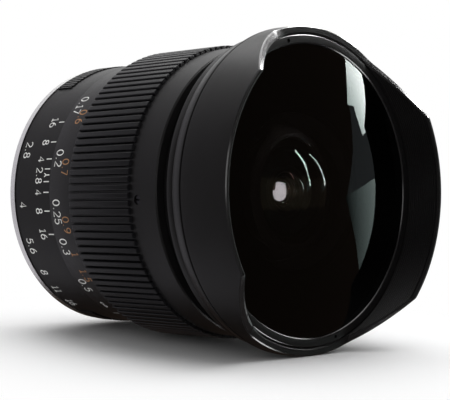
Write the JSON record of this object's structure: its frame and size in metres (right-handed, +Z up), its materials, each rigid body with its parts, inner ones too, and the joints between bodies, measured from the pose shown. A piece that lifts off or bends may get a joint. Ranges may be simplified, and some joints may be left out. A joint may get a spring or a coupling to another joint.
{
  "type": "fisheye lens",
  "caption": "Manual fisheye lens with a petal hood, a ribbed focus ring, a click-stopped aperture ring, a working iris and a bayonet mount.",
  "frame": {"origin": "on the optical axis, in the plane where the flange rests against the camera", "axes": "+Y along the axis towards the camera, -X towards the index line, +Z up as the lens lies"},
  "size_m": [0.0716, 0.0813, 0.0716],
  "materials": {
    "mount_chrome": "satin",
    "black_enamel": "black satin anodised",
    "matte_black": "matte black",
    "bare_aluminium": "turned",
    "helicoid_brass": "turned",
    "screw_steel": "polished",
    "blackened_steel": "satin",
    "coated_glass": "polished"
  },
  "bodies": {
    "barrel": {"mount_flange": "mount_chrome", "mount_screws": "screw_steel", "rear_light_baffle": "matte_black", "main_barrel": "bare_aluminium", "straight_key": "screw_steel", "key_screws": "screw_steel", "focus_stop_pin": "screw_steel", "click_ball": "screw_steel", "click_spring": "screw_steel", "scale_ring": "black_enamel", "focus_retaining_ring": "bare_aluminium"},
    "focus": {"focus_ring": "black_enamel", "focus_collar": "black_enamel", "collar_set_screws": "screw_steel", "helicoid_ring": "helicoid_brass"},
    "aperture": {"aperture_ring": "black_enamel", "aperture_drive_pin": "screw_steel", "aperture_link": "bare_aluminium"},
    "optics": {"optics_barrel": "bare_aluminium", "front_barrel": "black_enamel", "hood_base_ring": "black_enamel", "petal_hood": "black_enamel", "front_retaining_ring": "matte_black", "front_light_baffle": "matte_black", "front_cell": "matte_black", "second_retaining_ring": "matte_black", "middle_cell": "matte_black", "middle_spacer": "matte_black", "middle_retaining_ring": "matte_black", "rear_cell": "matte_black", "rear_spacer": "matte_black", "last_spacer": "matte_black", "rear_retaining_ring": "matte_black", "iris_base": "matte_black", "iris_cover": "matte_black", "front_element": "coated_glass", "second_element": "coated_glass", "third_element": "coated_glass", "fourth_element": "coated_glass", "fifth_element": "coated_glass", "sixth_element": "coated_glass", "seventh_element": "coated_glass", "eighth_element": "coated_glass", "ninth_element": "coated_glass", "tenth_element": "coated_glass", "eleventh_element": "coated_glass"},
    "iris_cam": {"iris_cam_ring": "blackened_steel", "iris_lever_pin": "screw_steel"},
    "blade_1": {"iris_blade_1": "blackened_steel"},
    "blade_2": {"iris_blade_2": "blackened_steel"},
    "blade_3": {"iris_blade_3": "blackened_steel"},
    "blade_4": {"iris_blade_4": "blackened_steel"},
    "blade_5": {"iris_blade_5": "blackened_steel"},
    "blade_6": {"iris_blade_6": "blackened_steel"},
    "blade_7": {"iris_blade_7": "blackened_steel"}
  },
  "joints": [
    {"name": "focus_turn", "type": "hinge", "parent": "barrel", "child": "focus", "pos_m": [0, 0, 0], "axis": [0, 1, 0], "range_deg": [-32.7, 70]},
    {"name": "optics_slide", "type": "slide", "parent": "barrel", "child": "optics", "axis": [0, 1, 0], "range_m": [-0.00049, 0.00105]},
    {"name": "aperture_turn", "type": "hinge", "parent": "barrel", "child": "aperture", "pos_m": [0, 0, 0], "axis": [0, 1, 0], "range_deg": [-11.5, 65.1]},
    {"name": "iris_cam_turn", "type": "hinge", "parent": "optics", "child": "iris_cam", "pos_m": [0, 0, 0], "axis": [0, 1, 0], "range_deg": [-11.51, 65.11]},
    {"name": "blade_1_turn", "type": "hinge", "parent": "optics", "child": "blade_1", "pos_m": [0.0105, -0.0256, 0], "axis": [0, 1, 0], "range_deg": [-3.83, 21.61]},
    {"name": "blade_2_turn", "type": "hinge", "parent": "optics", "child": "blade_2", "pos_m": [0.00655, -0.0256, 0.00821], "axis": [0, 1, 0], "range_deg": [-3.83, 21.61]},
    {"name": "blade_3_turn", "type": "hinge", "parent": "optics", "child": "blade_3", "pos_m": [-0.00234, -0.0256, 0.01024], "axis": [0, 1, 0], "range_deg": [-3.83, 21.61]},
    {"name": "blade_4_turn", "type": "hinge", "parent": "optics", "child": "blade_4", "pos_m": [-0.00946, -0.0256, 0.00456], "axis": [0, 1, 0], "range_deg": [-3.83, 21.61]},
    {"name": "blade_5_turn", "type": "hinge", "parent": "optics", "child": "blade_5", "pos_m": [-0.00946, -0.0256, -0.00456], "axis": [0, 1, 0], "range_deg": [-3.83, 21.61]},
    {"name": "blade_6_turn", "type": "hinge", "parent": "optics", "child": "blade_6", "pos_m": [-0.00234, -0.0256, -0.01024], "axis": [0, 1, 0], "range_deg": [-3.83, 21.61]},
    {"name": "blade_7_turn", "type": "hinge", "parent": "optics", "child": "blade_7", "pos_m": [0.00655, -0.0256, -0.00821], "axis": [0, 1, 0], "range_deg": [-3.83, 21.61]}
  ],
  "couplings": [
    {"joint": "optics_slide", "follows": "focus_turn", "m_per_rad": 0.00085944},
    {"joint": "iris_cam_turn", "follows": "aperture_turn", "ratio": 1},
    {"joint": "blade_1_turn", "follows": "aperture_turn", "ratio": 0.33183},
    {"joint": "blade_2_turn", "follows": "aperture_turn", "ratio": 0.33183},
    {"joint": "blade_3_turn", "follows": "aperture_turn", "ratio": 0.33183},
    {"joint": "blade_4_turn", "follows": "aperture_turn", "ratio": 0.33183},
    {"joint": "blade_5_turn", "follows": "aperture_turn", "ratio": 0.33183},
    {"joint": "blade_6_turn", "follows": "aperture_turn", "ratio": 0.33183},
    {"joint": "blade_7_turn", "follows": "aperture_turn", "ratio": 0.33183}
  ]
}
